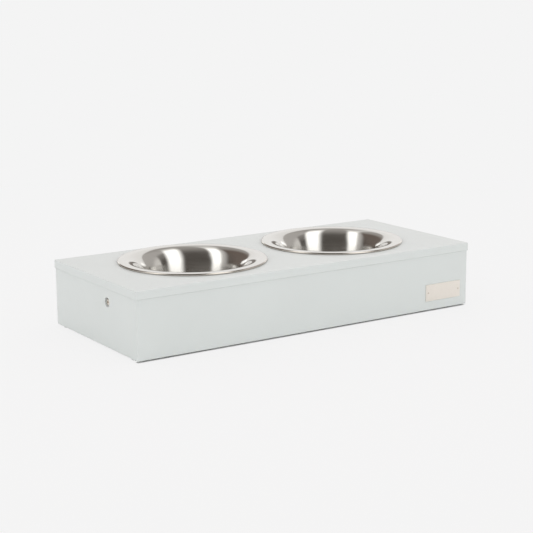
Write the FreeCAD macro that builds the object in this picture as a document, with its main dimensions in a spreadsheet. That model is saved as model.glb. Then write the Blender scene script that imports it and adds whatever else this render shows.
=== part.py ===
import FreeCAD, Part
import math
import os
import re
import Sketcher

# Wall-mounted pet feeder: a low painted box with two lift-out steel bowls.
# The origin is on the floor below the middle of the top panel.
# X runs to the right, Y from the front to the wall, Z up. Sizes are in millimetres.

SIZES = {
    # Box
    "overall_width": 560,
    "overall_depth": 244,
    "top_thickness": 12,
    "panel_thickness": 12,
    "panel_height": 81.5,
    "top_overhang": 1.2,
    "outer_edge_radius": 0.8,
    "back_board_height": 40,
    "block_width": 20,
    "block_chamfer": 6,
    # Pads
    "pad_radius": 10,
    "pad_thickness": 2,
    "pad_chamfer": 0.5,
    "pad_inset_side": 12,
    "pad_inset_end": 19,
    # Bowls and their cut-outs
    "bowl_spacing": 242,
    "bowl_setback": 128,
    "cutout_radius": 87,
    "cutout_edge_radius": 2,
    "lip_radius": 107.5,
    "lip_height": 2.7,
    "lip_bend_radius": 1.6,
    "flange_inner_radius": 97,
    "bowl_seat_gap": 0.3,
    "sheet_thickness": 0.8,
    "shoulder_radius": 32,
    "shoulder_angle": 50,
    "throat_radius": 22,
    "wall_angle": 76,
    "bowl_depth": 58,
    "bowl_corner_radius": 20,
    # Dowels between the panels
    "dowel_radius": 3,
    "dowel_length": 24,
    "dowel_face_depth": 8,
    "dowel_hole_gap": 0.05,
    "dowel_end_gap": 0.5,
    "dowel_margin": 30,
    "corner_dowel_low": 20,
    "corner_dowel_high": 60,
    "board_dowel_margin": 12,
    # Wall bracket and side bolts
    "bracket_height": 35,
    "bracket_thickness": 3,
    "bracket_drop": 1,
    "bracket_bend_radius": 6,
    "arm_end_radius": 12,
    "bolt_setback": 84,
    "bolt_radius": 3,
    "bolt_length": 16,
    "bolt_hole_gap": 0.3,
    "bolt_head_radius": 5.25,
    "bolt_head_height": 3.3,
    "bolt_head_dome": 2.6,
    "socket_width": 4,
    "socket_depth": 2,
    "counterbore_radius": 6.5,
    "counterbore_depth": 4.5,
    "nut_width": 10,
    "nut_height": 5,
    "thread_gap": 0.05,
    "slot_width": 5.5,
    "slot_length": 14,
    "slot_spacing": 140,
    # Front plate and its pins
    "plate_width": 66,
    "plate_height": 25,
    "plate_thickness": 0.8,
    "plate_corner_radius": 1,
    "plate_edge_chamfer": 0.4,
    "plate_inset_side": 12.5,
    "plate_inset_bottom": 13.4,
    "pin_inset": 4.5,
    "pin_radius": 0.6,
    "pin_length": 7,
    "pin_hole_gap": 0.05,
    "pin_end_gap": 0.5,
    "pin_head_radius": 1.1,
    "pin_head_height": 0.4,
}

# Lengths that follow from the sizes above
DERIVED = {
    "side_face": "overall_width / 2 - top_overhang",
    "inner_face": "side_face - panel_thickness",
    "front_face": "overall_depth / 2 - top_overhang",
    "side_length": "overall_depth / 2 + front_face - panel_thickness",
    "panel_middle": "panel_thickness / 2",
    "panel_top": "pad_thickness + panel_height",
    "top_face": "panel_top + top_thickness",
    "flange_face": "top_face + bowl_seat_gap + lip_height",
    "bolt_height": "panel_top - bracket_drop - bracket_height / 2",
    "bolt_seat": "side_face - counterbore_depth",
    "bolt_hole_radius": "bolt_radius + bolt_hole_gap",
    "dowel_hole_radius": "dowel_radius + dowel_hole_gap",
    "face_hole_depth": "dowel_face_depth + dowel_end_gap",
    "dowel_edge_depth": "dowel_length - dowel_face_depth",
    "edge_hole_depth": "dowel_edge_depth + dowel_end_gap",
    "front_dowel_pitch": "(2 * side_face - 4 * dowel_margin) / 3",
    "arm_length": "overall_depth - bolt_setback + bracket_height / 2",
    "pin_hole_radius": "pin_radius + pin_hole_gap",
    "pin_grip": "pin_length - plate_thickness",
}

ORIGIN = FreeCAD.Vector(0, 0, 0)
UP = FreeCAD.Vector(0, 0, 1)
# A piece drawn flat stands up with its drawn height along Z and its thickness towards the front.
STANDING = FreeCAD.Rotation(FreeCAD.Vector(1, 0, 0), 90)
# A piece drawn flat stands with its drawn length towards the wall and its thickness towards +X.
SIDEWAYS = FreeCAD.Rotation(FreeCAD.Vector(0, 1, 0), FreeCAD.Vector(0, 0, 1), FreeCAD.Vector(1, 0, 0), "XYZ")
# A piece drawn along Z points towards +X.
ALONG_X = FreeCAD.Rotation(FreeCAD.Vector(0, 1, 0), 90)
# A piece drawn along Z points towards the wall.
ALONG_Y = FreeCAD.Rotation(FreeCAD.Vector(1, 0, 0), -90)


def formula(text):
    """Spell out the derived lengths and point every size at its cell."""

    def spell(word):
        name = word.group()
        if name in DERIVED:
            return "(" + formula(DERIVED[name]) + ")"
        return "Sizes." + name if name in SIZES else name

    return re.sub(r"[a-z_]+", spell, text)


def bind(thing, field, text):
    """Tie one property of a document object to the sheet."""
    thing.setExpression(field, formula(text))


def place(thing, x="0", y="0", z="0", turn=None):
    """Turn a piece and tie its place to the sheet."""
    if turn is not None:
        thing.Placement = FreeCAD.Placement(ORIGIN, turn)
    for axis, text in zip("xyz", (x, y, z)):
        bind(thing, "Placement.Base." + axis, text)
    return thing


def fill_sheet(doc):
    """Write every driving size into its own named cell."""
    sheet = doc.addObject("Spreadsheet::Sheet", "Sizes")
    for row, (name, value) in enumerate(SIZES.items(), start=1):
        sheet.set(f"A{row}", name)
        sheet.set(f"B{row}", str(value))
        sheet.setAlias(f"B{row}", name)
    doc.recompute()


def new_body(doc, name):
    """Start a piece."""
    body = doc.addObject("PartDesign::Body", name)
    body.Label = name
    return body


def new_sketch(body, role="XY_Plane", lift="0"):
    """Start a sketch on one of the body's own planes, lifted along the plane's normal."""
    sketch = body.newObject("Sketcher::SketchObject", body.Name + "_sketch")
    plane = next(feature for feature in body.Origin.OriginFeatures if feature.Role == role)
    sketch.AttachmentSupport = (plane, [""])
    sketch.MapMode = "FlatFace"
    if lift != "0":
        bind(sketch, "AttachmentOffset.Base.z", lift)
    return sketch


def size_rule(sketch, kind, places, text, start=1.0):
    """Add one dimension to a sketch and tie it to the sheet; a single size starts at its own value."""
    rule = sketch.addConstraint(Sketcher.Constraint(kind, *places, float(SIZES.get(text, start))))
    bind(sketch, f"Constraints[{rule}]", text)


def locate(sketch, item, point, x, y):
    """Hold a point of a sketch at x and y from its origin."""
    for kind, axis, text in (("DistanceX", -2, x), ("DistanceY", -1, y)):
        if text == "0":
            sketch.addConstraint(Sketcher.Constraint("PointOnObject", item, point, axis))
        else:
            size_rule(sketch, kind, (-1, 1, item, point), text)


def draw_ring_of_lines(sketch, points):
    """Draw a closed outline of straight lines through rough points and return its first line."""
    first = sketch.GeometryCount
    count = len(points)
    for index in range(count):
        start = FreeCAD.Vector(*points[index])
        end = FreeCAD.Vector(*points[(index + 1) % count])
        sketch.addGeometry(Part.LineSegment(start, end))
    for index in range(count):
        follower = first + (index + 1) % count
        sketch.addConstraint(Sketcher.Constraint("Coincident", first + index, 2, follower, 1))
    return first


def draw_rectangle(sketch, x, y, width, height):
    """Draw a rectangle from its low corner, width and height."""
    first = draw_ring_of_lines(sketch, ((0, 0), (1, 0), (1, 1), (0, 1)))
    for line, kind in enumerate(("Horizontal", "Vertical", "Horizontal", "Vertical")):
        sketch.addConstraint(Sketcher.Constraint(kind, first + line))
    locate(sketch, first, 1, x, y)
    size_rule(sketch, "DistanceX", (first, 1, first, 2), width)
    size_rule(sketch, "DistanceY", (first + 1, 1, first + 1, 2), height)


def draw_circle(sketch, x, y, radius):
    """Draw a circle."""
    item = sketch.addGeometry(Part.Circle(ORIGIN, UP, 1.0))
    locate(sketch, item, 3, x, y)
    size_rule(sketch, "Radius", (item,), radius)


def draw_hexagon(sketch, width):
    """Draw a hexagon round the origin, with the given width across its flats."""
    corners = [(math.cos(math.radians(60 * index)), math.sin(math.radians(60 * index))) for index in range(6)]
    first = draw_ring_of_lines(sketch, corners)
    around = sketch.addGeometry(Part.Circle(ORIGIN, UP, 1.0), True)
    sketch.addConstraint(Sketcher.Constraint("Coincident", around, 3, -1, 1))
    for line in range(first, first + 6):
        sketch.addConstraint(Sketcher.Constraint("PointOnObject", line, 1, around))
    for line in range(first + 1, first + 6):
        sketch.addConstraint(Sketcher.Constraint("Equal", first, line))
    sketch.addConstraint(Sketcher.Constraint("Horizontal", first + 1))
    size_rule(sketch, "Radius", (around,), f"({width}) / sqrt(3)")


def pad(body, sketch, length, backwards=False):
    """Raise a sketch into a solid."""
    feature = body.newObject("PartDesign::Pad", body.Name + "_pad")
    feature.Profile = sketch
    feature.Reversed = backwards
    bind(feature, "Length", length)
    sketch.Document.recompute()
    return feature


def pocket(body, sketch, depth, forwards=False):
    """Cut a sketch into a body, along or against the sketch's normal, and check that it removed something."""
    before = body.Shape.Volume
    feature = body.newObject("PartDesign::Pocket", body.Name + "_pocket")
    feature.Profile = sketch
    feature.Reversed = forwards
    bind(feature, "Length", depth)
    sketch.Document.recompute()
    if body.Shape.Volume >= before:
        raise ValueError(f"a cut of {body.Label} removed nothing")
    return feature


def edges_where(shape, wanted):
    """Name the edges of a shape that pass a test on their bounding boxes."""
    return [f"Edge{index}" for index, edge in enumerate(shape.Edges, start=1) if wanted(edge.BoundBox)]


def round_edges(body, wanted, radius):
    """Round the edges of a body that pass a test."""
    base = (body.Tip, edges_where(body.Shape, wanted))
    feature = body.newObject("PartDesign::Fillet", body.Name + "_fillet")
    feature.Base = base
    bind(feature, "Radius", radius)
    body.Document.recompute()


def bevel_edges(body, wanted, size):
    """Bevel the edges of a body that pass a test."""
    base = (body.Tip, edges_where(body.Shape, wanted))
    feature = body.newObject("PartDesign::Chamfer", body.Name + "_chamfer")
    feature.Base = base
    bind(feature, "Size", size)
    body.Document.recompute()


def same(first, second):
    """Tell whether two lengths agree."""
    return abs(first - second) < 1e-4


def mirror_piece(doc, source, name):
    """Make the right-hand twin of a left-hand piece."""
    twin = doc.addObject("Part::Mirroring", name)
    twin.Label = name
    twin.Source = source
    twin.Base = ORIGIN
    twin.Normal = FreeCAD.Vector(1, 0, 0)
    return twin


def group_pieces(doc, name, pieces):
    """Put identical fasteners into one group of separate solids."""
    group = doc.addObject("Part::Compound", name)
    group.Label = name
    group.Links = pieces
    return group


def top_dowel_spots():
    """Places of the upright dowels in the box's own X and Y: three over each side panel, four over the front."""
    spots = []
    for side in ("-", "+"):
        for along in ("dowel_margin", "side_length / 2", "side_length - dowel_margin"):
            spots.append((f"0 {side} (side_face - panel_middle)", f"panel_thickness - front_face + {along}"))
    for step in range(4):
        spots.append((f"2 * dowel_margin - side_face + {step} * front_dowel_pitch", "panel_middle - front_face"))
    return spots


def make_top_panel(doc):
    """The top panel with its two round cut-outs, its eased edges and its blind dowel holes."""
    body = new_body(doc, "top_panel")
    outline = new_sketch(body)
    draw_rectangle(outline, "0", "0", "overall_width", "overall_depth")
    pad(body, outline, "top_thickness")
    cutouts = new_sketch(body)
    for side in ("-", "+"):
        draw_circle(cutouts, f"overall_width / 2 {side} bowl_spacing / 2", "bowl_setback", "cutout_radius")
    pocket(body, cutouts, "top_thickness", forwards=True)
    width = body.Shape.BoundBox.XLength
    holes = new_sketch(body)
    for x, y in top_dowel_spots():
        draw_circle(holes, f"overall_width / 2 + {x}", f"overall_depth / 2 + {y}", "dowel_hole_radius")
    pocket(body, holes, "face_hole_depth", forwards=True)
    top = body.Shape.BoundBox.ZMax
    cutout = 2 * SIZES["cutout_radius"]
    round_edges(body, lambda box: same(box.ZMin, top) and same(box.XLength, cutout), "cutout_edge_radius")
    depth = body.Shape.BoundBox.YLength

    def is_outer(box):
        ends = box.XLength < 1e-4 and (same(box.XMin, 0) or same(box.XMin, width))
        front = box.YLength < 1e-4 and same(box.YMin, 0)
        corner = ends and box.YLength < 1e-4 and same(box.YMin, depth)
        return (ends or front) and not corner

    round_edges(body, is_outer, "outer_edge_radius")
    place(body, "0 - overall_width / 2", "0 - overall_depth / 2", "panel_top")


def make_front_panel(doc):
    """The front panel, drawn flat from its inner face, with holes for dowels and for the plate's pins."""
    body = new_body(doc, "front_panel")
    outline = new_sketch(body)
    draw_rectangle(outline, "0", "0", "2 * side_face", "panel_height")
    pad(body, outline, "panel_thickness")
    corners = new_sketch(body)
    for x in ("panel_middle", "2 * side_face - panel_middle"):
        for y in ("corner_dowel_low", "corner_dowel_high"):
            draw_circle(corners, x, y, "dowel_hole_radius")
    pocket(body, corners, "face_hole_depth", forwards=True)
    top_edge = new_sketch(body, "XZ_Plane", "0 - panel_height")
    for step in range(4):
        draw_circle(top_edge, f"2 * dowel_margin + {step} * front_dowel_pitch", "panel_middle", "dowel_hole_radius")
    pocket(body, top_edge, "edge_hole_depth", forwards=True)
    pins = new_sketch(body, "XY_Plane", "panel_thickness")
    for x in ("pin_inset", "plate_width - pin_inset"):
        centre = f"2 * side_face - plate_inset_side - plate_width + {x}"
        draw_circle(pins, centre, "plate_inset_bottom + plate_height / 2", "pin_hole_radius")
    pocket(body, pins, "pin_grip + pin_end_gap")
    bounds = body.Shape.BoundBox

    def is_outer(box):
        outer = same(box.ZMin, bounds.ZMax)
        upright = box.XLength < 1e-4 and (same(box.XMin, 0) or same(box.XMin, bounds.XMax))
        bottom = box.YLength < 1e-4 and same(box.YMin, 0)
        return outer and (upright or bottom)

    round_edges(body, is_outer, "outer_edge_radius")
    place(body, "0 - side_face", "panel_thickness - front_face", "pad_thickness", STANDING)


def make_side_panel(doc):
    """The left side panel, drawn flat from its outer face, with the sunk hole for the side bolt."""
    body = new_body(doc, "left_side_panel")
    outline = new_sketch(body)
    draw_rectangle(outline, "0", "0", "side_length", "panel_height")
    pad(body, outline, "panel_thickness")
    bolt_x = "bolt_setback - top_overhang - panel_thickness"
    bolt_y = "bolt_height - pad_thickness"
    recess = new_sketch(body)
    draw_circle(recess, bolt_x, bolt_y, "counterbore_radius")
    pocket(body, recess, "counterbore_depth", forwards=True)
    passage = new_sketch(body)
    draw_circle(passage, bolt_x, bolt_y, "bolt_hole_radius")
    pocket(body, passage, "panel_thickness", forwards=True)
    top_edge = new_sketch(body, "XZ_Plane", "0 - panel_height")
    for along in ("dowel_margin", "side_length / 2", "side_length - dowel_margin"):
        draw_circle(top_edge, along, "panel_middle", "dowel_hole_radius")
    pocket(body, top_edge, "edge_hole_depth", forwards=True)
    front_edge = new_sketch(body, "YZ_Plane")
    for height in ("corner_dowel_low", "corner_dowel_high"):
        draw_circle(front_edge, height, "panel_middle", "dowel_hole_radius")
    pocket(body, front_edge, "edge_hole_depth", forwards=True)
    inner = new_sketch(body, "XY_Plane", "panel_thickness")
    for height in ("board_dowel_margin", "back_board_height - board_dowel_margin"):
        draw_circle(inner, "side_length - panel_middle", height, "dowel_hole_radius")
    pocket(body, inner, "face_hole_depth")
    bounds = body.Shape.BoundBox

    def is_outer(box):
        outer = same(box.ZMax, 0) and same(box.ZMin, 0)
        upright = box.XLength < 1e-4 and same(box.XMin, bounds.XMax)
        bottom = box.YLength < 1e-4 and same(box.YMin, 0)
        return outer and (upright or bottom)

    round_edges(body, is_outer, "outer_edge_radius")
    place(body, "0 - side_face", "panel_thickness - front_face", "pad_thickness", SIDEWAYS)
    return body


def make_back_board(doc):
    """The low board between the side panels, which bears on the wall below the bracket."""
    body = new_body(doc, "back_board")
    outline = new_sketch(body)
    draw_rectangle(outline, "0", "0", "2 * inner_face", "back_board_height")
    pad(body, outline, "panel_thickness")
    for lift, forwards in (("0", True), ("2 * inner_face", False)):
        end = new_sketch(body, "YZ_Plane", lift)
        for height in ("board_dowel_margin", "back_board_height - board_dowel_margin"):
            draw_circle(end, height, "panel_middle", "dowel_hole_radius")
        pocket(body, end, "edge_hole_depth", forwards)
    place(body, "0 - inner_face", "overall_depth / 2", "pad_thickness", STANDING)


def make_block(doc, name, y, height, facing_wall):
    """A glue block in a left-hand corner of the box, bevelled on the edge that faces the room inside."""
    body = new_body(doc, name)
    outline = new_sketch(body)
    draw_rectangle(outline, "0", "0", "block_width", "block_width")
    pad(body, outline, height)
    bounds = body.Shape.BoundBox
    free_y = bounds.YMax if facing_wall else bounds.YMin

    def is_free(box):
        return box.ZLength > 1 and same(box.XMin, bounds.XMax) and same(box.YMin, free_y)

    bevel_edges(body, is_free, "block_chamfer")
    place(body, "0 - inner_face", y, "pad_thickness")
    return body


def make_foot_pad(doc, name, y):
    """A round pad under a left-hand corner."""
    body = new_body(doc, name)
    outline = new_sketch(body)
    draw_circle(outline, "0", "0", "pad_radius")
    pad(body, outline, "pad_thickness")
    bevel_edges(body, lambda box: same(box.ZMax, 0), "pad_chamfer")
    place(body, "pad_inset_side - side_face", y, "0")
    return body


def angle_of(name):
    """One of the named angles, in radians."""
    return math.radians(SIZES[name])


def bowl_corners():
    """Rough corners of the bowl's profile, from the lip inwards, and the centres of its arcs."""
    lip = SIZES["lip_radius"]
    bend = SIZES["lip_bend_radius"]
    flange = SIZES["flange_inner_radius"]
    shoulder = SIZES["shoulder_radius"]
    throat = SIZES["throat_radius"]
    corner = SIZES["bowl_corner_radius"]
    depth = SIZES["bowl_depth"]
    lean = angle_of("shoulder_angle")
    steep = angle_of("wall_angle")
    shoulder_end = (flange - shoulder * math.sin(lean), shoulder * (math.cos(lean) - 1))
    throat_centre = (shoulder_end[0] + throat * math.sin(lean), shoulder_end[1] - throat * math.cos(lean))
    wall_start = (throat_centre[0] - throat * math.sin(steep), throat_centre[1] + throat * math.cos(steep))
    wall_end_y = -depth + corner * (1 - math.cos(steep))
    wall_end = (wall_start[0] - (wall_start[1] - wall_end_y) / math.tan(steep), wall_end_y)
    corner_centre = (wall_end[0] - corner * math.sin(steep), corner - depth)
    ends = (
        (lip, -SIZES["lip_height"]),
        (lip, -bend),
        (lip - bend, 0),
        (flange, 0),
        shoulder_end,
        wall_start,
        wall_end,
        (corner_centre[0], -depth),
        (0, -depth),
    )
    centres = {1: (lip - bend, -bend), 3: (flange, -shoulder), 4: throat_centre, 6: corner_centre}
    return ends, centres


def short_arc(centre, first, second):
    """The shorter arc between two points round a centre, drawn counter-clockwise as sketches do."""
    angles = [math.atan2(point[1] - centre[1], point[0] - centre[0]) for point in (first, second)]
    turn = math.remainder(angles[1] - angles[0], 2 * math.pi)
    begin = angles[0] if turn > 0 else angles[1]
    circle = Part.Circle(FreeCAD.Vector(*centre), UP, math.dist(centre, first))
    return Part.ArcOfCircle(circle, begin, begin + abs(turn))


def draw_bowl_profile(sketch):
    """Draw the bowl's upper surface from the lip to the middle: four arcs joined by tangent lines."""
    ends, centres = bowl_corners()
    for index in range(len(ends) - 1):
        if index in centres:
            sketch.addGeometry(short_arc(centres[index], ends[index], ends[index + 1]))
        else:
            start = FreeCAD.Vector(*ends[index])
            sketch.addGeometry(Part.LineSegment(start, FreeCAD.Vector(*ends[index + 1])))
    return len(ends) - 1


def end_nearest(sketch, item, spot):
    """Tell which end of an item of a sketch lies at a spot."""
    geometry = sketch.Geometry[item]
    from_start = (geometry.StartPoint - FreeCAD.Vector(*spot)).Length
    from_end = (geometry.EndPoint - FreeCAD.Vector(*spot)).Length
    return 1 if from_start < from_end else 2


def make_bowl_sketch(doc, name):
    """The bowl's profile, tied to the sheet."""
    sketch = doc.addObject("Sketcher::SketchObject", name + "_profile")
    count = draw_bowl_profile(sketch)
    ends, centres = bowl_corners()
    lip, bend, flange, shoulder, throat, wall, corner, floor = range(count)
    for index in range(count - 1):
        first_end = end_nearest(sketch, index, ends[index + 1])
        second_end = end_nearest(sketch, index + 1, ends[index + 1])
        sketch.addConstraint(Sketcher.Constraint("Tangent", index, first_end, index + 1, second_end))
    sketch.addConstraint(Sketcher.Constraint("Vertical", lip))
    sketch.addConstraint(Sketcher.Constraint("Horizontal", floor))
    sketch.addConstraint(Sketcher.Constraint("PointOnObject", flange, 1, -1))
    sketch.addConstraint(Sketcher.Constraint("PointOnObject", flange, 2, -1))
    sketch.addConstraint(Sketcher.Constraint("PointOnObject", floor, 2, -2))
    size_rule(sketch, "DistanceX", (-1, 1, lip, 1), "lip_radius")
    size_rule(sketch, "DistanceY", (lip, 1, -1, 1), "lip_height")
    size_rule(sketch, "DistanceX", (-1, 1, flange, 2), "flange_inner_radius")
    size_rule(sketch, "DistanceY", (floor, 2, -1, 1), "bowl_depth")
    size_rule(sketch, "Radius", (bend,), "lip_bend_radius")
    size_rule(sketch, "Radius", (shoulder,), "shoulder_radius")
    size_rule(sketch, "Radius", (throat,), "throat_radius")
    size_rule(sketch, "Radius", (corner,), "bowl_corner_radius")
    lean = angle_of("shoulder_angle")
    size_rule(sketch, "Angle", (shoulder,), "shoulder_angle * 1deg", lean)
    size_rule(sketch, "Angle", (throat,), "(wall_angle - shoulder_angle) * 1deg", angle_of("wall_angle") - lean)
    sketch.Placement = FreeCAD.Placement(ORIGIN, STANDING)
    return sketch


def make_bowl(doc, name, side):
    """A bowl pressed from one sheet: its profile thickened downwards and turned about the axis."""
    section = doc.addObject("Part::Offset2D", name + "_section")
    section.Source = make_bowl_sketch(doc, name)
    section.Mode = 0
    section.Join = 0
    section.Fill = True
    bind(section, "Value", "sheet_thickness")
    bowl = doc.addObject("Part::Revolution", name)
    bowl.Label = name
    bowl.Source = section
    bowl.Axis = UP
    bowl.Base = ORIGIN
    bowl.Angle = 360
    bowl.Solid = True
    place(bowl, f"0 {side} bowl_spacing / 2", "bowl_setback - overall_depth / 2", "flange_face")


def make_bracket(doc):
    """The flat steel bar bent to a U: slots for the wall screws, and an arm along each side panel."""
    body = new_body(doc, "wall_bracket")
    outline = new_sketch(body)
    rough = ((0, 0), (0, 9), (9, 9), (9, 0), (8, 0), (8, 8), (1, 8), (1, 0))
    first = draw_ring_of_lines(outline, rough)
    for line in range(8):
        kind = "Horizontal" if line % 2 else "Vertical"
        outline.addConstraint(Sketcher.Constraint(kind, first + line))
    outline.addConstraint(Sketcher.Constraint("Coincident", first, 1, -1, 1))
    outline.addConstraint(Sketcher.Constraint("PointOnObject", first + 2, 2, -1))
    size_rule(outline, "DistanceX", (first + 1, 1, first + 1, 2), "2 * inner_face")
    size_rule(outline, "DistanceY", (first, 1, first, 2), "arm_length")
    size_rule(outline, "DistanceX", (first + 3, 2, first + 3, 1), "bracket_thickness")
    size_rule(outline, "DistanceX", (first + 7, 2, first + 7, 1), "bracket_thickness")
    size_rule(outline, "DistanceY", (first + 5, 1, first + 1, 2), "bracket_thickness")
    pad(body, outline, "bracket_height")
    slots = new_sketch(body, "XZ_Plane", "0 - arm_length")
    for step in range(4):
        draw_slot(slots, f"inner_face + slot_spacing * ({step} - 1.5)", "bracket_height / 2")
    pocket(body, slots, "bracket_thickness", forwards=True)
    holes = new_sketch(body, "YZ_Plane")
    draw_circle(holes, "bracket_height / 2", "bracket_height / 2", "bolt_hole_radius")
    pocket(body, holes, "2 * inner_face", forwards=True)
    bounds = body.Shape.BoundBox
    wall = SIZES["bracket_thickness"]

    def is_corner(inset):
        """Test for the upright edges of the two bends, on the outside or the inside."""
        return lambda box: (
            box.ZLength > 1
            and same(box.YMin, bounds.YMax - inset)
            and (same(box.XMin, inset) or same(box.XMin, bounds.XMax - inset))
        )

    round_edges(body, is_corner(0), "bracket_bend_radius")
    round_edges(body, is_corner(wall), "bracket_bend_radius - bracket_thickness")
    round_edges(body, lambda box: same(box.XLength, wall) and same(box.YMax, 0), "arm_end_radius")
    place(body, "0 - inner_face", "overall_depth / 2 - arm_length", "bolt_height - bracket_height / 2")


def draw_slot(sketch, x, y):
    """Draw a level slot with round ends."""
    low = Part.LineSegment(FreeCAD.Vector(-1, -1), FreeCAD.Vector(1, -1))
    right = Part.ArcOfCircle(Part.Circle(FreeCAD.Vector(1, 0), UP, 1), -math.pi / 2, math.pi / 2)
    high = Part.LineSegment(FreeCAD.Vector(1, 1), FreeCAD.Vector(-1, 1))
    left = Part.ArcOfCircle(Part.Circle(FreeCAD.Vector(-1, 0), UP, 1), math.pi / 2, 3 * math.pi / 2)
    first = sketch.GeometryCount
    for item in (low, right, high, left):
        sketch.addGeometry(item)
    for index in range(4):
        follower = first + (index + 1) % 4
        sketch.addConstraint(Sketcher.Constraint("Tangent", first + index, 2, follower, 1))
    sketch.addConstraint(Sketcher.Constraint("Horizontal", first))
    sketch.addConstraint(Sketcher.Constraint("Horizontal", first + 2))
    size_rule(sketch, "Radius", (first + 1,), "slot_width / 2")
    size_rule(sketch, "DistanceX", (-1, 1, first + 1, 3), f"{x} + (slot_length - slot_width) / 2")
    size_rule(sketch, "DistanceX", (first + 3, 3, first + 1, 3), "slot_length - slot_width")
    size_rule(sketch, "DistanceY", (-1, 1, first + 1, 3), y)


def make_bolts(doc):
    """The two side bolts: a domed head with a hexagon socket, drawn from the face that the head seats on."""
    body = new_body(doc, "left_side_bolt")
    head = new_sketch(body)
    draw_circle(head, "0", "0", "bolt_head_radius")
    pad(body, head, "bolt_head_height", backwards=True)
    lowest = body.Shape.BoundBox.ZMin
    round_edges(body, lambda box: same(box.ZMax, lowest), "bolt_head_dome")
    shank = new_sketch(body)
    draw_circle(shank, "0", "0", "bolt_radius")
    pad(body, shank, "bolt_length")
    socket = new_sketch(body, "XY_Plane", "0 - bolt_head_height")
    draw_hexagon(socket, "socket_width")
    pocket(body, socket, "socket_depth", forwards=True)
    place(body, "0 - bolt_seat", "bolt_setback - overall_depth / 2", "bolt_height", ALONG_X)
    group_pieces(doc, "side_bolts", [body, mirror_piece(doc, body, "right_side_bolt")])


def make_nuts(doc):
    """The two weld nuts on the inside of the bracket's arms."""
    body = new_body(doc, "left_weld_nut")
    outline = new_sketch(body)
    draw_hexagon(outline, "nut_width")
    draw_circle(outline, "0", "0", "bolt_radius + thread_gap")
    pad(body, outline, "nut_height")
    place(body, "bracket_thickness - inner_face", "bolt_setback - overall_depth / 2", "bolt_height", ALONG_X)
    group_pieces(doc, "weld_nuts", [body, mirror_piece(doc, body, "right_weld_nut")])


def make_plate(doc):
    """The small bare plate on the front panel."""
    body = new_body(doc, "front_plate")
    outline = new_sketch(body)
    draw_rectangle(outline, "0", "0", "plate_width", "plate_height")
    pad(body, outline, "plate_thickness")
    holes = new_sketch(body)
    for x in ("pin_inset", "plate_width - pin_inset"):
        draw_circle(holes, x, "plate_height / 2", "pin_hole_radius")
    pocket(body, holes, "plate_thickness", forwards=True)
    round_edges(body, lambda box: box.ZLength > 0.1 and box.XLength < 1e-4, "plate_corner_radius")
    top = body.Shape.BoundBox.ZMax
    hole = 4 * SIZES["pin_radius"]
    bevel_edges(body, lambda box: same(box.ZMin, top) and not (box.XLength < hole and box.XLength == box.YLength),
                "plate_edge_chamfer")
    place(body, "side_face - plate_inset_side - plate_width", "0 - front_face",
          "pad_thickness + plate_inset_bottom", STANDING)


def make_pins(doc):
    """The two pins that hold the plate."""
    pins = []
    for side, x in (("left", "(plate_width - pin_inset)"), ("right", "pin_inset")):
        body = new_body(doc, side + "_plate_pin")
        head = new_sketch(body)
        draw_circle(head, "0", "0", "pin_head_radius")
        pad(body, head, "pin_head_height")
        shank = new_sketch(body)
        draw_circle(shank, "0", "0", "pin_radius")
        pad(body, shank, "pin_length", backwards=True)
        place(body, f"side_face - plate_inset_side - {x}", "0 - front_face - plate_thickness",
              "pad_thickness + plate_inset_bottom + plate_height / 2", STANDING)
        pins.append(body)
    group_pieces(doc, "plate_pins", pins)


def add_dowel(doc, x, y, z, turn=None):
    """One dowel, from the deep end in a panel's edge to the short end in the next panel's face."""
    dowel = doc.addObject("Part::Cylinder", "dowel")
    bind(dowel, "Radius", "dowel_radius")
    bind(dowel, "Height", "dowel_length")
    return place(dowel, x, y, z, turn)


def make_dowels(doc):
    """All the dowels of the box."""
    dowels = [add_dowel(doc, x, y, "panel_top - dowel_edge_depth") for x, y in top_dowel_spots()]
    for side in ("-", "+"):
        middle = f"0 {side} (side_face - panel_middle)"
        for height in ("corner_dowel_low", "corner_dowel_high"):
            start = "panel_thickness - front_face - dowel_face_depth"
            dowels.append(add_dowel(doc, middle, start, f"pad_thickness + {height}", ALONG_Y))
    for start in ("0 - inner_face - dowel_face_depth", "inner_face - dowel_edge_depth"):
        for height in ("board_dowel_margin", "back_board_height - board_dowel_margin"):
            y = "overall_depth / 2 - panel_middle"
            dowels.append(add_dowel(doc, start, y, f"pad_thickness + {height}", ALONG_X))
    group_pieces(doc, "panel_dowels", dowels)


def make_blocks_and_pads(doc):
    """The glue blocks and pads of the left-hand corners and their right-hand twins."""
    front = "panel_thickness - front_face"
    rear = "overall_depth / 2 - panel_thickness - block_width"
    for name, y, height, facing_wall in (
        ("front_left_block", front, "panel_height", True),
        ("rear_left_block", rear, "back_board_height", False),
    ):
        block = make_block(doc, name, y, height, facing_wall)
        mirror_piece(doc, block, name.replace("left", "right"))
    for name, y in (
        ("front_left_pad", "pad_inset_end - front_face"),
        ("rear_left_pad", "overall_depth / 2 - pad_inset_end"),
    ):
        foot = make_foot_pad(doc, name, y)
        mirror_piece(doc, foot, name.replace("left", "right"))


NODES = (
    "top_panel",
    "front_panel",
    "left_side_panel",
    "right_side_panel",
    "back_board",
    "front_left_block",
    "front_right_block",
    "rear_left_block",
    "rear_right_block",
    "front_left_pad",
    "front_right_pad",
    "rear_left_pad",
    "rear_right_pad",
    "panel_dowels",
    "wall_bracket",
    "weld_nuts",
    "side_bolts",
    "left_bowl",
    "right_bowl",
    "front_plate",
    "plate_pins",
)


def check_document(doc):
    """Stop if any object failed to build or any piece has no sound shape."""
    for item in doc.Objects:
        if "Invalid" in item.State or "Error" in item.State:
            raise ValueError(f"{item.Label} failed to build")
    for name in NODES:
        shape = doc.getObject(name).Shape
        if shape.isNull() or not shape.isValid() or not shape.Solids:
            raise ValueError(f"{name} has no sound solid")


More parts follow.
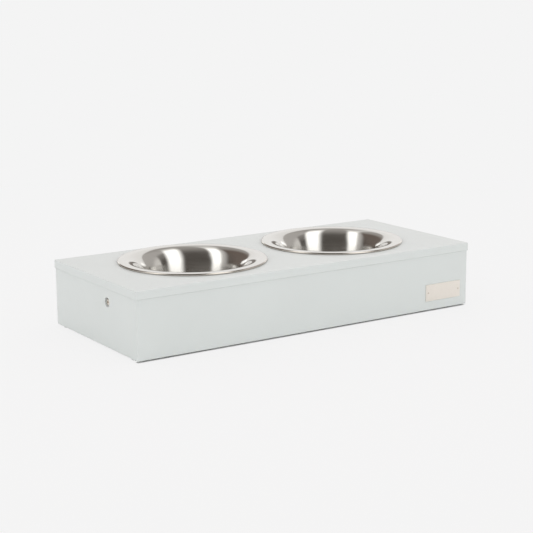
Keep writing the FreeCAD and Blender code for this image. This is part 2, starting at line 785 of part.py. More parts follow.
def main():
    """Build every piece and write one STEP file for each."""
    doc = FreeCAD.newDocument("PetFeeder")
    fill_sheet(doc)
    make_top_panel(doc)
    make_front_panel(doc)
    mirror_piece(doc, make_side_panel(doc), "right_side_panel")
    make_back_board(doc)
    make_blocks_and_pads(doc)
    make_bracket(doc)
    make_bolts(doc)
    make_nuts(doc)
    make_plate(doc)
    make_pins(doc)
    make_dowels(doc)
    make_bowl(doc, "left_bowl", "-")
    make_bowl(doc, "right_bowl", "+")
    doc.recompute()
    check_document(doc)
    os.makedirs("parts", exist_ok=True)
    for name in NODES:
        doc.getObject(name).Shape.exportStep(f"parts/{name}.step")


main()
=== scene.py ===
import logging
import math
from dataclasses import dataclass
from enum import Enum
from typing import Any, Protocol, Sequence

import bpy
import numpy as np
from mathutils import Matrix, Vector


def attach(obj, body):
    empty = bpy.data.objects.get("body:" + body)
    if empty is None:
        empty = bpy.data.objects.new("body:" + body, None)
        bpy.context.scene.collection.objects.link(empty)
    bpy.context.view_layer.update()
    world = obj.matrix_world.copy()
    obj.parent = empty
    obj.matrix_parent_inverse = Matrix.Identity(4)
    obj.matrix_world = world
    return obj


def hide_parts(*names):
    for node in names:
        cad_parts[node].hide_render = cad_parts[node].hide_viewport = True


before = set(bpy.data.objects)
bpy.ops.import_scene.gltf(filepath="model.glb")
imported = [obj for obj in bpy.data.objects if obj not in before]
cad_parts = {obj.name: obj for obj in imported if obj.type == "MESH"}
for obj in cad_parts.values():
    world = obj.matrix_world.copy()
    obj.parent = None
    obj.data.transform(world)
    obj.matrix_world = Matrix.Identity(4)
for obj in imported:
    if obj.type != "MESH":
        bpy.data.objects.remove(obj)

LOG = logging.getLogger("feeder")
Colour = tuple[float, float, float]
Point = tuple[float, float, float]


class Signal:
    """A number or colour that varies over a surface: Python expressions on it add Math nodes."""

    def __init__(self, bench: "Bench", socket: bpy.types.NodeSocket | None) -> None:
        """Wrap an output socket.

        Args:
            bench: the node tree that the socket belongs to.
            socket: the socket, or None for the end of a tree.
        """
        self.bench = bench
        self.socket = socket

    def _maths(self, operation: str, *values: Any) -> "Signal":
        """Add one Math node.

        Args:
            operation: the node's operation.
            values: numbers or signals for its sockets.

        Returns:
            The node's result.
        """
        return self.bench.add("ShaderNodeMath", {"operation": operation}, *values)

    def __add__(self, other: Any) -> "Signal":
        """Add."""
        return self._maths("ADD", self, other)

    def __radd__(self, other: Any) -> "Signal":
        """Add, reflected."""
        return self._maths("ADD", other, self)

    def __sub__(self, other: Any) -> "Signal":
        """Take away."""
        return self._maths("SUBTRACT", self, other)

    def __rsub__(self, other: Any) -> "Signal":
        """Take away, reflected."""
        return self._maths("SUBTRACT", other, self)

    def __mul__(self, other: Any) -> "Signal":
        """Multiply."""
        return self._maths("MULTIPLY", self, other)

    def __rmul__(self, other: Any) -> "Signal":
        """Multiply, reflected."""
        return self._maths("MULTIPLY", other, self)

    def __truediv__(self, other: Any) -> "Signal":
        """Divide."""
        return self._maths("DIVIDE", self, other)

    def __abs__(self) -> "Signal":
        """Drop the sign."""
        return self._maths("ABSOLUTE", self)

    def at_least(self, other: Any) -> "Signal":
        """Take the larger of two."""
        return self._maths("MAXIMUM", self, other)


class Bench:
    """The node tree of one material or of the world, with one way to add nodes."""

    def __init__(self, owner: bpy.types.ID) -> None:
        """Start an empty tree.

        Args:
            owner: the material or world that holds the tree.
        """
        owner.use_nodes = True
        self.tree = owner.node_tree
        self.tree.nodes.clear()

    def _feed(self, socket: bpy.types.NodeSocket, value: Any) -> None:
        """Link a signal to a socket, or set the socket's own value.

        Args:
            socket: the input socket.
            value: a signal, a number or a colour; None leaves the socket alone.
        """
        if value is None:
            return
        if isinstance(value, Signal):
            self.tree.links.new(value.socket, socket)
        elif socket.type == "RGBA":
            socket.default_value = (*value, 1.0)
        else:
            socket.default_value = value

    def add(
        self,
        kind: str,
        settings: dict[str, Any] | None = None,
        *ordered: Any,
        out: str | int = 0,
        named: dict[str | int, Any] | None = None,
    ) -> Signal:
        """Add a node of any kind.

        Args:
            kind: the node's type.
            settings: its own settings, set first; a ramp's stops go under "stops".
            ordered: values or links of its input sockets, in order.
            out: the output wanted, by name or number.
            named: values or links of its input sockets, by name or number.

        Returns:
            The output wanted.
        """
        node = self.tree.nodes.new(kind)
        for key, value in (settings or {}).items():
            if key == "stops":
                self._fill_ramp(node, value)
            else:
                setattr(node, key, value)
        for socket, value in zip(node.inputs, ordered):
            self._feed(socket, value)
        for key, value in (named or {}).items():
            self._feed(node.inputs[key], value)
        return Signal(self, node.outputs[out] if node.outputs else None)

    @staticmethod
    def _fill_ramp(node: bpy.types.Node, stops: Sequence[tuple[float, Colour]]) -> None:
        """Set the stops of a colour ramp.

        Args:
            node: the ramp.
            stops: pairs of place and colour.
        """
        elements = node.color_ramp.elements
        while len(elements) < len(stops):
            elements.new(0.5)
        for element, (place, colour) in zip(elements, stops):
            element.position = place
            element.color = (*colour, 1.0)

    def spot(self, centre: Point = (0.0, 0.0, 0.0), scale: Point = (1.0, 1.0, 1.0)) -> Signal:
        """Give the place on the object.

        Args:
            centre: the point that it is measured from, in metres.
            scale: a factor for each axis.

        Returns:
            The place as a vector.
        """
        where = self.add("ShaderNodeTexCoord", out="Object")
        moved = self.add("ShaderNodeVectorMath", {"operation": "SUBTRACT"}, where, centre)
        return self.add("ShaderNodeVectorMath", {"operation": "MULTIPLY"}, moved, scale)

    def noise(self, where: Signal, scale: float, detail: float = 2.0, roughness: float = 0.5) -> Signal:
        """Smooth noise about one half.

        Args:
            where: the place that it is read at.
            scale: bumps in a metre.
            detail: finer layers.
            roughness: strength of the finer layers.

        Returns:
            The noise.
        """
        values = {"Vector": where, "Scale": scale, "Detail": detail, "Roughness": roughness}
        return self.add("ShaderNodeTexNoise", {}, named=values)

    def step(self, value: Signal, low: float, high: float) -> Signal:
        """Rise smoothly from 0 at the low value to 1 at the high one."""
        settings = {"interpolation_type": "SMOOTHSTEP"}
        return self.add("ShaderNodeMapRange", settings, value, low, high, 0.0, 1.0)

    def blend(self, amount: Signal | float, first: Any, second: Any) -> Signal:
        """Blend two colours."""
        return self.add("ShaderNodeMix", {"data_type": "RGBA"}, out=2, named={0: amount, 6: first, 7: second})

    def ridges(self, height: Signal, depth: float) -> Signal:
        """Turn a height of 0 to 1, with that depth in metres, into a normal."""
        return self.add("ShaderNodeBump", {}, named={"Height": height, "Distance": depth})

    def surface(self, values: dict[str, Any]) -> Signal:
        """Add the main shader with these values."""
        return self.add("ShaderNodeBsdfPrincipled", {}, named=values)

    def end(self, shader: Signal, kind: str = "ShaderNodeOutputMaterial") -> None:
        """Link a shader to the tree's output."""
        self.add(kind, named={"Surface": shader})


class Finish(Protocol):
    """What every finish can do."""

    def make(self, name: str) -> bpy.types.Material:
        """Make the material.

        Args:
            name: its name.

        Returns:
            The material.
        """
        ...


def new_material(name: str) -> tuple[bpy.types.Material, Bench]:
    """Start a material.

    Args:
        name: its name.

    Returns:
        The material and the bench for its nodes.
    """
    material = bpy.data.materials.new(name)
    return material, Bench(material)


@dataclass(frozen=True)
class SprayedPaint:
    """Satin paint sprayed on fibreboard: a pale cool grey with the faint ripple that spraying leaves."""

    colour: Colour = (0.60, 0.625, 0.61)
    shade: float = 0.025
    roughness: float = 0.46
    ripple_width: float = 0.0022
    ripple_depth: float = 0.000012

    def make(self, name: str) -> bpy.types.Material:
        """Make the paint: broad clouds in the colour, fine ones in the gloss, two sizes of ripple.

        Args:
            name: the material's name.

        Returns:
            The material.
        """
        material, bench = new_material(name)
        spot = bench.spot()
        clouds = bench.noise(spot, 14.0, 3.0)
        darker = tuple(channel * (1.0 - self.shade) for channel in self.colour)
        lighter = tuple(channel * (1.0 + self.shade) for channel in self.colour)
        grain = bench.noise(spot, 1.0 / self.ripple_width, 3.0, 0.6)
        mist = bench.noise(spot, 4.0 / self.ripple_width, 1.0)
        height = grain * 0.75 + mist * 0.25
        values = {
            "Base Color": bench.blend(clouds, darker, lighter),
            "Roughness": self.roughness + (bench.noise(spot, 90.0) - 0.5) * 0.08,
            "Normal": bench.ridges(height, self.ripple_depth),
            "Specular IOR Level": 0.4,
        }
        bench.end(bench.surface(values))
        return material


@dataclass(frozen=True)
class SpunSteel:
    """Stainless steel spun on a lathe: a polished flange and roll, a brushed wall, and a lip painted darker as
    painted shade and a painted dark reflection.
    """

    centre: Point
    colour: Colour = (0.66, 0.645, 0.62)
    # Painted shade and painted dark reflection on the lip, not a colour that the steel has.
    lip_painted_shade_colour: Colour = (0.56, 0.52, 0.475)
    polish: float = 0.06
    brushed: float = 0.18
    stretch: float = 0.9
    groove_width: float = 0.0004
    groove_depth: float = 0.0000012
    polish_depth: float = 0.005
    brush_depth: float = 0.012
    lip_shade_start: float = 0.1049
    lip_shade_full: float = 0.1054

    def make(self, name: str) -> bpy.types.Material:
        """Make the steel.

        The grooves follow the radius plus the height, which rises steadily along the bowl's section, and
        the direction round the axis stretches them into long thin marks.

        Args:
            name: the material's name.

        Returns:
            The material.
        """
        material, bench = new_material(name)
        spot = bench.spot(self.centre)
        level = bench.spot(self.centre, (1.0, 1.0, 0.0))
        radius = bench.add("ShaderNodeVectorMath", {"operation": "LENGTH"}, level, out="Value")
        around = bench.add("ShaderNodeVectorMath", {"operation": "NORMALIZE"}, level)
        height = bench.add("ShaderNodeSeparateXYZ", {}, spot, out="Z")
        along = radius + height
        turned = bench.add("ShaderNodeSeparateXYZ", {}, around, out="X")
        across = bench.add("ShaderNodeSeparateXYZ", {}, around, out="Y")
        fine = self._lines(bench, turned, across, along, self.groove_width, 9.0)
        broad = self._lines(bench, turned, across, along, self.groove_width * 7.0, 4.0)
        depth = 0.0 - height
        is_brushed = bench.step(depth, self.polish_depth, self.brush_depth)
        grooves = fine * 0.6 + broad * 0.4
        darker = tuple(0.94 * channel for channel in self.colour)
        lighter = tuple(1.06 * channel for channel in self.colour)
        tone = bench.blend(grooves, darker, lighter)
        # Painted shade and painted dark reflection: from this radius outwards the lip's colour is blended to a
        # dull dark brown.
        lip = bench.step(radius, self.lip_shade_start, self.lip_shade_full)
        polished = bench.surface(
            {
                "Base Color": bench.blend(lip, tone, self.lip_painted_shade_colour),
                "Metallic": 1.0,
                "Roughness": self.polish + (broad - 0.5) * 0.05 + lip * 0.14,
                "Normal": bench.ridges(grooves, self.groove_depth * 0.5),
            }
        )
        wall = bench.surface(
            {
                "Base Color": tone,
                "Metallic": 1.0,
                "Roughness": self.brushed + (broad - 0.5) * 0.08,
                "Anisotropic": self.stretch,
                "Anisotropic Rotation": 0.25,
                "Normal": bench.ridges(grooves, self.groove_depth),
            }
        )
        bench.end(bench.add("ShaderNodeMixShader", {}, is_brushed, polished, wall))
        return material

    @staticmethod
    def _lines(
        bench: Bench, turned: Signal, across: Signal, along: Signal, width: float, breaks: float
    ) -> Signal:
        """Long marks round the axis.

        Args:
            bench: the material's bench.
            turned: the direction round the axis, first part.
            across: the direction round the axis, second part.
            along: the way along the section, in metres.
            width: the width of a mark, in metres.
            breaks: how often a mark fades out round the axis.

        Returns:
            Noise about one half.
        """
        where = bench.add("ShaderNodeCombineXYZ", {}, turned * breaks, across * breaks, along * (1.0 / width))
        return bench.noise(where, 1.0, 2.0, 0.6)


class Grain(Enum):
    """Which way a metal's marks run, as marks in a metre along each axis."""

    LEVEL = (4.0, 60.0, 2600.0)
    DRAWN = (60.0, 2600.0, 2600.0)
    EVEN = (900.0, 900.0, 900.0)


@dataclass(frozen=True)
class BrushedMetal:
    """Plated or brushed metal with a fine grain in one direction."""

    colour: Colour
    roughness: float
    grain: Grain
    mark_depth: float = 0.000003
    tarnish: Colour = (0.30, 0.27, 0.23)
    tarnish_amount: float = 0.08

    def make(self, name: str) -> bpy.types.Material:
        """Make the metal: grain lines in gloss and height, with faint clouds of tarnish.

        Args:
            name: the material's name.

        Returns:
            The material.
        """
        material, bench = new_material(name)
        lines = bench.noise(bench.spot(scale=self.grain.value), 1.0, 2.0, 0.6)
        clouds = bench.noise(bench.spot(), 160.0, 3.0)
        values = {
            "Base Color": bench.blend(clouds * self.tarnish_amount, self.colour, self.tarnish),
            "Metallic": 1.0,
            "Roughness": self.roughness + (lines - 0.5) * 0.16,
            "Normal": bench.ridges(lines, self.mark_depth),
        }
        bench.end(bench.surface(values))
        return material


@dataclass(frozen=True)
class PowderCoat:
    """Powder-coated steel: an even colour with a fine pebbled skin."""

    colour: Colour = (0.58, 0.60, 0.60)
    roughness: float = 0.50
    pebble_width: float = 0.0009
    pebble_depth: float = 0.00003

    def make(self, name: str) -> bpy.types.Material:
        """Make the coating: cells for the pebbles, noise in the gloss.

        Args:
            name: the material's name.

        Returns:
            The material.
        """
        material, bench = new_material(name)
        spot = bench.spot()
        values = {"Vector": spot, "Scale": 1.0 / self.pebble_width}
        cells = bench.add("ShaderNodeTexVoronoi", {"feature": "SMOOTH_F1"}, out="Distance", named=values)
        dusty = tuple(0.96 * channel for channel in self.colour)
        surface = {
            "Base Color": bench.blend(bench.noise(spot, 60.0, 4.0), dusty, self.colour),
            "Roughness": self.roughness + (bench.noise(spot, 220.0) - 0.5) * 0.1,
            "Normal": bench.ridges(1.0 - cells, self.pebble_depth),
        }
        bench.end(bench.surface(surface))
        return material


@dataclass(frozen=True)
class BareWood:
    """Sanded softwood, with its grain along one axis."""

    along: Point = (1.0, 1.0, 0.06)
    pale: Colour = (0.60, 0.44, 0.27)
    honey: Colour = (0.53, 0.37, 0.21)
    dark: Colour = (0.40, 0.26, 0.14)
    ring_width: float = 0.0035

    def make(self, name: str) -> bpy.types.Material:
        """Make the wood: stretched noise bends evenly spaced rings, and finer noise gives the pores.

        Args:
            name: the material's name.

        Returns:
            The material.
        """
        material, bench = new_material(name)
        spot = bench.spot(scale=self.along)
        sway = bench.noise(spot, 40.0, 3.0)
        settings = {"wave_type": "RINGS", "rings_direction": "Z"}
        values = {"Vector": spot, "Scale": 0.3 / self.ring_width, "Distortion": 5.0, "Detail": 3.0}
        rings = bench.add("ShaderNodeTexWave", settings, out="Fac", named=values)
        pores = bench.noise(spot, 2600.0, 2.0)
        stops = {"stops": ((0.0, self.pale), (0.55, self.honey), (1.0, self.dark))}
        surface = {
            "Base Color": bench.add("ShaderNodeValToRGB", stops, rings * 0.6 + sway * 0.4),
            "Roughness": 0.62 + (pores - 0.5) * 0.2,
            "Normal": bench.ridges(pores * 0.6 + rings * 0.4, 0.00005),
        }
        bench.end(bench.surface(surface))
        return material


@dataclass(frozen=True)
class SoftRubber:
    """Pale soft rubber with a finely matt skin."""

    colour: Colour = (0.52, 0.53, 0.51)
    roughness: float = 0.72

    def make(self, name: str) -> bpy.types.Material:
        """Make the rubber: speckled colour and a fine matt grain.

        Args:
            name: the material's name.

        Returns:
            The material.
        """
        material, bench = new_material(name)
        spot = bench.spot()
        speckle = bench.noise(spot, 1500.0, 3.0, 0.7)
        worn = tuple(0.8 * channel for channel in self.colour)
        surface = {
            "Base Color": bench.blend(speckle, worn, self.colour),
            "Roughness": self.roughness + (speckle - 0.5) * 0.15,
            "Normal": bench.ridges(speckle, 0.00004),
        }
        bench.end(bench.surface(surface))
        return material


def dress_nodes(nodes: Sequence[str], finish: Finish, name: str) -> None:
    """Make one finish and give it to carried-over pieces.

    Args:
        nodes: the pieces' names.
        finish: what they are made of.
        name: the material's name.
    """
    material = finish.make(name)
    for node in nodes:
        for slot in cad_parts[node].material_slots:
            slot.material = material
        LOG.info("dressed %s with %s", node, name)


def arc(centre: tuple[float, float], radius: float, start: float, end: float, count: int) -> np.ndarray:
    """Points of an arc: centre + radius * (cosine, sine) of angles spaced evenly from start to end.

    Args:
        centre: its centre, as distance from the axis and height.
        radius: its radius.
        start: the first angle, in degrees from outwards, counter-clockwise.
        end: the last angle.
        count: how many points.

    Returns:
        The points, one a row.
    """
    angles = np.radians(np.linspace(start, end, count))
    return np.column_stack((centre[0] + radius * np.cos(angles), centre[1] + radius * np.sin(angles)))


def offset_inwards(points: np.ndarray, distance: float) -> np.ndarray:
    """Move each point of a curve to the right of its direction by a distance.

    Args:
        points: the curve.
        distance: how far.

    Returns:
        The moved curve.
    """
    ways = np.gradient(points, axis=0)
    ways /= np.linalg.norm(ways, axis=1, keepdims=True)
    return points + distance * np.column_stack((ways[:, 1], -ways[:, 0]))


def turned_surface(name: str, profile: np.ndarray, centre: Point, count: int) -> bpy.types.Object:
    """Turn a profile that starts and ends on the axis about it.

    A point of the surface is the centre plus the profile's distance from the axis times (cosine, sine) of
    the angle, and the profile's height; the two ends become poles that close the surface.

    Args:
        name: the piece's name.
        profile: distance from the axis and height of each ring, ends included.
        centre: where the axis meets height 0.
        count: how many points round the axis.

    Returns:
        The piece, in the scene.
    """
    rings = profile[1:-1]
    angles = np.linspace(0.0, 2.0 * np.pi, count, endpoint=False)
    x = centre[0] + np.outer(rings[:, 0], np.cos(angles))
    y = centre[1] + np.outer(rings[:, 0], np.sin(angles))
    z = centre[2] + np.repeat(rings[:, 1:2], count, axis=1)
    body = np.stack((x, y, z), axis=-1).reshape(-1, 3)
    poles = np.array([[centre[0], centre[1], centre[2] + profile[end, 1]] for end in (0, -1)])
    points = np.vstack((body, poles))
    index = np.arange(len(body)).reshape(len(rings), count)
    after = np.roll(index, -1, axis=1)
    quads = np.stack((index[:-1], index[1:], after[1:], after[:-1]), axis=-1).reshape(-1, 4)
    first, last = len(body), len(body) + 1
    caps = [
        np.column_stack((np.full(count, first), index[0], after[0])),
        np.column_stack((np.full(count, last), after[-1], index[-1])),
    ]
    faces = [*quads.tolist(), *caps[0].tolist(), *caps[1].tolist()]
    mesh = bpy.data.meshes.new(name)
    mesh.from_pydata(points.tolist(), [], faces)
    mesh.polygons.foreach_set("use_smooth", np.ones(len(mesh.polygons), dtype=bool))
    mesh.update()
    piece = bpy.data.objects.new(name, mesh)
    bpy.context.scene.collection.objects.link(piece)
    return piece


@dataclass
class FeedingBowl:
    """A bowl drawn from one sheet of steel: floor, corner, leaning wall, roll, flat flange, turned-down lip."""

    body: str
    axis_x: float
    axis_y: float = 0.006
    rim_height: float = 0.0985
    depth: float = 0.058
    sheet: float = 0.0008
    corner_radius: float = 0.020
    wall_angle: float = 76.0
    throat_radius: float = 0.022
    shoulder_angle: float = 50.0
    shoulder_radius: float = 0.032
    flange_radius: float = 0.097
    lip_radius: float = 0.1058
    lip_bend: float = 0.0014
    lip_height: float = 0.0027
    points_around: int = 224

    def centre(self) -> Point:
        """Give the point where the bowl's axis meets its flange."""
        return self.axis_x, self.axis_y, self.rim_height

    def upper_profile(self) -> np.ndarray:
        """Work out the upper side from the axis out to the lip: lines joined by tangent arcs.

        Returns:
            Distance from the axis and height below the flange, one point a row.
        """
        lean = math.radians(self.shoulder_angle)
        steep = math.radians(self.wall_angle)
        shoulder = (self.flange_radius, -self.shoulder_radius)
        throat = (
            self.flange_radius - self.shoulder_radius * math.sin(lean) + self.throat_radius * math.sin(lean),
            self.shoulder_radius * (math.cos(lean) - 1.0) - self.throat_radius * math.cos(lean),
        )
        wall_top = (
            throat[0] - self.throat_radius * math.sin(steep),
            throat[1] + self.throat_radius * math.cos(steep),
        )
        wall_low = -self.depth + self.corner_radius * (1.0 - math.cos(steep))
        wall_foot = wall_top[0] - (wall_top[1] - wall_low) / math.tan(steep)
        corner = (wall_foot - self.corner_radius * math.sin(steep), self.corner_radius - self.depth)
        bend = (self.lip_radius - self.lip_bend, -self.lip_bend)
        pieces = (
            np.column_stack((np.linspace(0.0, corner[0], 12), np.full(12, -self.depth)))[:-1],
            arc(corner, self.corner_radius, 270.0, 270.0 + self.wall_angle, 20)[:-1],
            np.linspace((wall_foot, wall_low), wall_top, 14)[:-1],
            arc(throat, self.throat_radius, 90.0 + self.wall_angle, 90.0 + self.shoulder_angle, 9)[:-1],
            arc(shoulder, self.shoulder_radius, 90.0 + self.shoulder_angle, 90.0, 18)[:-1],
            np.linspace((self.flange_radius, 0.0), (bend[0], 0.0), 6)[:-1],
            arc(bend, self.lip_bend, 90.0, 0.0, 8)[:-1],
            np.linspace((self.lip_radius, bend[1]), (self.lip_radius, -self.lip_height), 3),
        )
        return np.vstack(pieces)

    def build(self) -> bpy.types.Object:
        """Build the bowl: the upper side, the cut edge, and the upper side set in by the sheet's thickness.

        Returns:
            The bowl.
        """
        upper = self.upper_profile()
        lower = offset_inwards(upper, self.sheet)[::-1]
        lower[-1, 0] = 0.0
        profile = np.vstack((upper, lower))
        piece = turned_surface(f"{self.body}_shell", profile, self.centre(), self.points_around)
        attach(piece, self.body)
        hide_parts(self.body)
        LOG.info("built %s with %d faces", piece.name, len(piece.data.polygons))
        return piece

    def dress(self, piece: bpy.types.Object) -> None:
        """Give the bowl its steel.

        Args:
            piece: the bowl.
        """
        piece.data.materials.append(SpunSteel(self.centre()).make(f"{self.body}_steel"))


@dataclass
class PaintedBox:
    """The box: painted panels outside, plain wood blocks and dowels inside, soft pads below."""

    panels: tuple[str, ...] = ("top_panel", "front_panel", "left_side_panel", "right_side_panel", "back_board")
    blocks: tuple[str, ...] = ("front_left_block", "front_right_block", "rear_left_block", "rear_right_block")
    pads: tuple[str, ...] = ("front_left_pad", "front_right_pad", "rear_left_pad", "rear_right_pad")
    dowels: str = "panel_dowels"

    def dress(self) -> None:
        """Give every piece of the box its finish."""
        dress_nodes(self.panels, SprayedPaint(), "sprayed_paint")
        dress_nodes(self.blocks, BareWood(), "block_wood")
        dress_nodes((self.dowels,), BareWood(ring_width=0.0015), "dowel_wood")
        dress_nodes(self.pads, SoftRubber(), "pad_rubber")


@dataclass
class WallFixing:
    """The bracket on the wall, its weld nuts, and the bolts through the sides."""

    bracket: str = "wall_bracket"
    nuts: str = "weld_nuts"
    bolts: str = "side_bolts"

    def dress(self) -> None:
        """Give the bracket, nuts and bolts their finishes."""
        dress_nodes((self.bracket,), PowderCoat(), "bracket_coat")
        dress_nodes((self.nuts,), BrushedMetal((0.56, 0.54, 0.50), 0.34, Grain.DRAWN, 0.00001), "nut_plating")
        dress_nodes((self.bolts,), BrushedMetal((0.80, 0.75, 0.68), 0.34, Grain.EVEN), "bolt_steel")


@dataclass
class FrontPlate:
    """The small bare plate on the front, and the pins that hold it."""

    plate: str = "front_plate"
    pins: str = "plate_pins"

    def dress(self) -> None:
        """Give the plate and its pins a satin nickel."""
        nickel = BrushedMetal((0.84, 0.81, 0.745), 0.42, Grain.LEVEL, 0.000004)
        dress_nodes((self.plate,), nickel, "plate_nickel")
        dress_nodes((self.pins,), BrushedMetal((0.62, 0.57, 0.49), 0.30, Grain.EVEN), "pin_nickel")


@dataclass(frozen=True)
class StripLight:
    """One curved strip light as the steel mirrors it, in directions from the camera's seat.

    The strip's middle lies at side = reach + lean * near + bow * near squared, on the right for a hand of 1
    and on the left for a hand of -1, and it is width + widening * near to each side. A glow may spread from
    its outer edge.
    """

    hand: float
    reach: float
    lean: float
    bow: float
    width: float
    widening: float
    glow: float

    def light(self, bench: Bench, side: Signal, near: Signal) -> tuple[Signal, Signal]:
        """Work out how strongly the strip and its glow show in each direction.

        Args:
            bench: the world's bench.
            side: how far the direction points to the picture's right.
            near: how far it points towards the camera.

        Returns:
            The strip's share and the glow's share, from 0 to 1.
        """
        half = (near * self.widening + self.width).at_least(0.05)
        middle = near * (near * self.bow + self.lean) + self.reach
        outwards = side * self.hand - middle
        strip = 1.0 - bench.step(abs(outwards) / half, 0.6, 1.5)
        past = outwards - half
        spread = (near * 0.75 + 0.5).at_least(0.04)
        glow = (1.0 - bench.step(past / spread, 0.0, 1.0)) * bench.step(past, -0.1, 0.0)
        return strip * bench.step(near, -0.78, -0.35), glow * self.glow


@dataclass
class Studio:
    """A pale floor and soft light all round, with what the polished steel mirrors.

    The steel mirrors a pale wall behind the object with a dark skirting and two small lamps, an open room
    to the right, two curved strip lights overhead and the dim side where the camera stands. Directions are
    given from the camera's seat: side is towards the picture's right, near is level towards the camera,
    and up is up.
    """

    eye: Point = (-1.0719, -1.6346, 0.4914)
    target: Point = (-0.0002, 0.0, 0.0723)
    roll: float = -0.44
    lens: float = 92.55
    paper: Colour = (0.905, 0.905, 0.905)
    soft_light_low: Colour = (1.64, 1.77, 1.77)
    soft_light_high: Colour = (0.85, 0.74, 0.75)
    dim_side: Colour = (0.105, 0.095, 0.085)
    dim_left: Colour = (0.185, 0.15, 0.13)
    ceiling: Colour = (0.44, 0.42, 0.40)
    pale_wall: Colour = (1.0, 0.99, 0.975)
    skirting: Colour = (0.24, 0.22, 0.20)
    lamp: Colour = (1.6, 1.6, 1.57)
    open_room: Colour = (0.54, 0.52, 0.50)
    open_room_near: Colour = (0.82, 0.80, 0.77)
    strip_light: Colour = (1.95, 1.95, 1.92)
    strip_glow: Colour = (0.75, 0.735, 0.715)
    strips: tuple[StripLight, ...] = (
        StripLight(1.0, 0.41, 0.46, 0.0, 0.170, 0.19, 0.0),
        StripLight(-1.0, 0.49, 0.66, 0.10, 0.140, 0.17, 1.0),
    )
    floor_size: float = 30.0
    shadow_share: float = 0.10
    shadow_reach: float = 1.4

    def _seat_axes(self) -> tuple[Vector, Vector]:
        """Work out the level directions of the camera's seat.

        Returns:
            The way to the picture's right, and the way towards the camera.
        """
        near = Vector((self.eye[0] - self.target[0], self.eye[1] - self.target[1], 0.0)).normalized()
        return Vector((-near.y, near.x, 0.0)), near

    def add_camera(self) -> None:
        """Put the camera where the photograph was taken from."""
        eye, target = Vector(self.eye), Vector(self.target)
        ahead = (target - eye).normalized()
        right = ahead.cross(Vector((0.0, 0.0, 1.0))).normalized()
        up = right.cross(ahead)
        turn = math.radians(self.roll)
        across = right * math.cos(turn) + up * math.sin(turn)
        upright = up * math.cos(turn) - right * math.sin(turn)
        data = bpy.data.cameras.new("photo_camera")
        data.lens = self.lens
        data.sensor_width = 36.0
        camera = bpy.data.objects.new("photo_camera", data)
        camera.matrix_world = Matrix.Translation(eye) @ Matrix((across, upright, -ahead)).transposed().to_4x4()
        bpy.context.scene.collection.objects.link(camera)
        bpy.context.scene.camera = camera

    def add_floor(self) -> None:
        """Lay a pale floor that takes a faint shadow near the object and is even paper further out."""
        half = self.floor_size
        mesh = bpy.data.meshes.new("floor")
        corners = [(-half, -half, 0.0), (half, -half, 0.0), (half, half, 0.0), (-half, half, 0.0)]
        mesh.from_pydata(corners, [], [(0, 1, 2, 3)])
        floor = bpy.data.objects.new("floor", mesh)
        bpy.context.scene.collection.objects.link(floor)
        mesh.materials.append(self._floor_material())

    def _floor_material(self) -> bpy.types.Material:
        """Make the floor: under the object it is plain card, except a strip 5.5 mm wide under the left edge
        that shows lit paper, painted light where the gap under the panel is in shade; further out the card
        blends into paper.

        Returns:
            The material.
        """
        material, bench = new_material("floor_card")
        spot = bench.spot()
        away = bench.add("ShaderNodeVectorMath", {"operation": "LENGTH"}, spot, out="Value")
        x = bench.add("ShaderNodeSeparateXYZ", {}, spot, out="X")
        y = bench.add("ShaderNodeSeparateXYZ", {}, spot, out="Y")
        # Painted light: where y is above -0.112, the first 5.5 mm under the left edge show lit paper to the
        # camera instead of the shaded card.
        painted_lit_inset = bench.step(y, -0.114, -0.112) * 0.0055
        under = bench.step(x - painted_lit_inset, -0.2795, -0.2775) * (1.0 - bench.step(x, 0.276, 0.281))
        under = under * (1.0 - bench.step(abs(y), 0.118, 0.123))
        near = (1.0 - bench.step(away, 0.4, self.shadow_reach)) * self.shadow_share
        share = under + near * (1.0 - under)
        seen = bench.add("ShaderNodeLightPath", out="Is Camera Ray")
        card = bench.surface({"Base Color": (0.81, 0.80, 0.80), "Roughness": 0.9})
        paper = bench.add("ShaderNodeEmission", {}, self.paper, 1.0)
        bench.end(bench.add("ShaderNodeMixShader", {}, share + (1.0 - share) * (1.0 - seen), paper, card))
        return material

    def _mirrored_room(self, bench: Bench) -> Signal:
        """Work out what the steel mirrors in each direction.

        Args:
            bench: the world's bench.

        Returns:
            The room's colour.
        """
        way = bench.add("ShaderNodeTexCoord", out="Generated")
        right, level = self._seat_axes()
        dot = {"operation": "DOT_PRODUCT"}
        side = bench.add("ShaderNodeVectorMath", dot, way, tuple(right), out="Value")
        near = bench.add("ShaderNodeVectorMath", dot, way, tuple(level), out="Value")
        up = bench.add("ShaderNodeSeparateXYZ", {}, way, out="Z")
        overhead = bench.blend(bench.step(side, -0.35, -0.15), self.dim_left, self.ceiling)
        room = bench.blend(bench.step(near, -0.75, 0.25), overhead, self.dim_side)
        room = self._open_side(bench, side, near, room)
        for strip in self.strips:
            lit, glow = strip.light(bench, side, near)
            room = bench.blend(glow, room, self.strip_glow)
            room = bench.blend(lit, room, self.strip_light)
        return self._back_wall(bench, side, near, up, room)

    def _open_side(self, bench: Bench, side: Signal, near: Signal, room: Signal) -> Signal:
        """Add the open room on the right, lighter towards the camera and cut off along a slanting edge.

        Args:
            bench: the world's bench.
            side: how far the direction points to the picture's right.
            near: how far it points towards the camera.
            room: the colour so far.

        Returns:
            The colour with the open room.
        """
        slant = near * 0.85 - side + 0.9
        cut_off = bench.step(slant, -0.03, 0.06) * bench.step(near, -0.47, -0.33)
        opening = (1.0 - cut_off) * bench.step(side, 0.10, 0.30)
        inside = bench.blend(bench.step(near, -0.45, -0.20), self.open_room, self.open_room_near)
        return bench.blend(opening, room, inside)

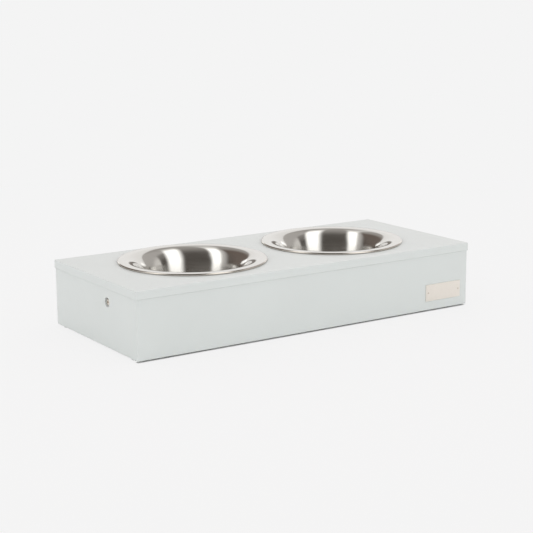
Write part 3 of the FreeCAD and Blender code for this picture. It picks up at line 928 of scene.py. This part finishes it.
    def _back_wall(self, bench: Bench, side: Signal, near: Signal, up: Signal, room: Signal) -> Signal:
        """Add the pale wall behind the object, its dark skirting, and a lamp low down at each side.

        Args:
            bench: the world's bench.
            side: how far the direction points to the picture's right.
            near: how far it points towards the camera.
            up: how far it points up.
            room: the colour so far.

        Returns:
            The colour with the wall.
        """
        edge = bench.step(side, -0.12, 0.16) * 0.09 - 0.9
        wall = 1.0 - bench.step(near - edge, -0.02, 0.02)
        low = 1.0 - bench.step(up, 0.10, 0.15)
        low = low * bench.step(side, -0.36, -0.28) * (1.0 - bench.step(side, 0.10, 0.20))
        beside = 1.0 - bench.step(abs(abs(side) - 0.45), 0.09, 0.15)
        level = bench.step(up, -0.02, 0.03) * (1.0 - bench.step(up, 0.24, 0.30))
        lamp = beside * level * (1.0 - bench.step(near, -0.82, -0.78))
        room = bench.blend(wall, room, bench.blend(low, self.pale_wall, self.skirting))
        return bench.blend(lamp, room, self.lamp)

    def _soft_light(self, bench: Bench) -> Signal:
        """Work out the soft light of each direction: cool low down, and warmer and weaker overhead.

        Args:
            bench: the world's bench.

        Returns:
            The light's colour.
        """
        way = bench.add("ShaderNodeTexCoord", out="Generated")
        up = bench.add("ShaderNodeSeparateXYZ", {}, way, out="Z")
        return bench.blend(abs(up), self.soft_light_low, self.soft_light_high)

    def add_room(self) -> None:
        """Light the room: paper for the camera, what the steel mirrors, and soft light for all else."""
        world = bpy.data.worlds.new("studio_room")
        bpy.context.scene.world = world
        bench = Bench(world)
        seen = bench.add("ShaderNodeLightPath", out="Is Camera Ray")
        mirrored = bench.add("ShaderNodeLightPath", out="Is Glossy Ray")
        colour = bench.blend(mirrored, self._soft_light(bench), self._mirrored_room(bench))
        colour = bench.blend(seen, colour, self.paper)
        bench.end(bench.add("ShaderNodeBackground", {}, colour, 1.0), "ShaderNodeOutputWorld")

    def add_overhead_light(self) -> None:
        """Hang one large soft light above, which the steel doesn't mirror."""
        data = bpy.data.lights.new("overhead_light", "AREA")
        data.shape = "RECTANGLE"
        data.size, data.size_y = 2.4, 1.8
        data.energy = 6.0
        light = bpy.data.objects.new("overhead_light", data)
        light.matrix_world = Matrix.Translation((0.1, 0.1, 2.2))
        light.visible_glossy = False
        bpy.context.scene.collection.objects.link(light)

    def build(self) -> None:
        """Set up the camera, floor, lights and colour handling."""
        self.add_camera()
        self.add_floor()
        self.add_room()
        self.add_overhead_light()
        bpy.context.scene.view_settings.view_transform = "Standard"
        LOG.info("studio ready")


def main() -> None:
    """Build the studio, then each part of the feeder."""
    logging.basicConfig(level=logging.INFO, format="%(name)s: %(message)s")
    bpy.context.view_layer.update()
    Studio().build()
    PaintedBox().dress()
    WallFixing().dress()
    FrontPlate().dress()
    for body, axis_x in (("left_bowl", -0.121), ("right_bowl", 0.121)):
        bowl = FeedingBowl(body, axis_x)
        bowl.dress(bowl.build())


if __name__ == "__main__":
    main()
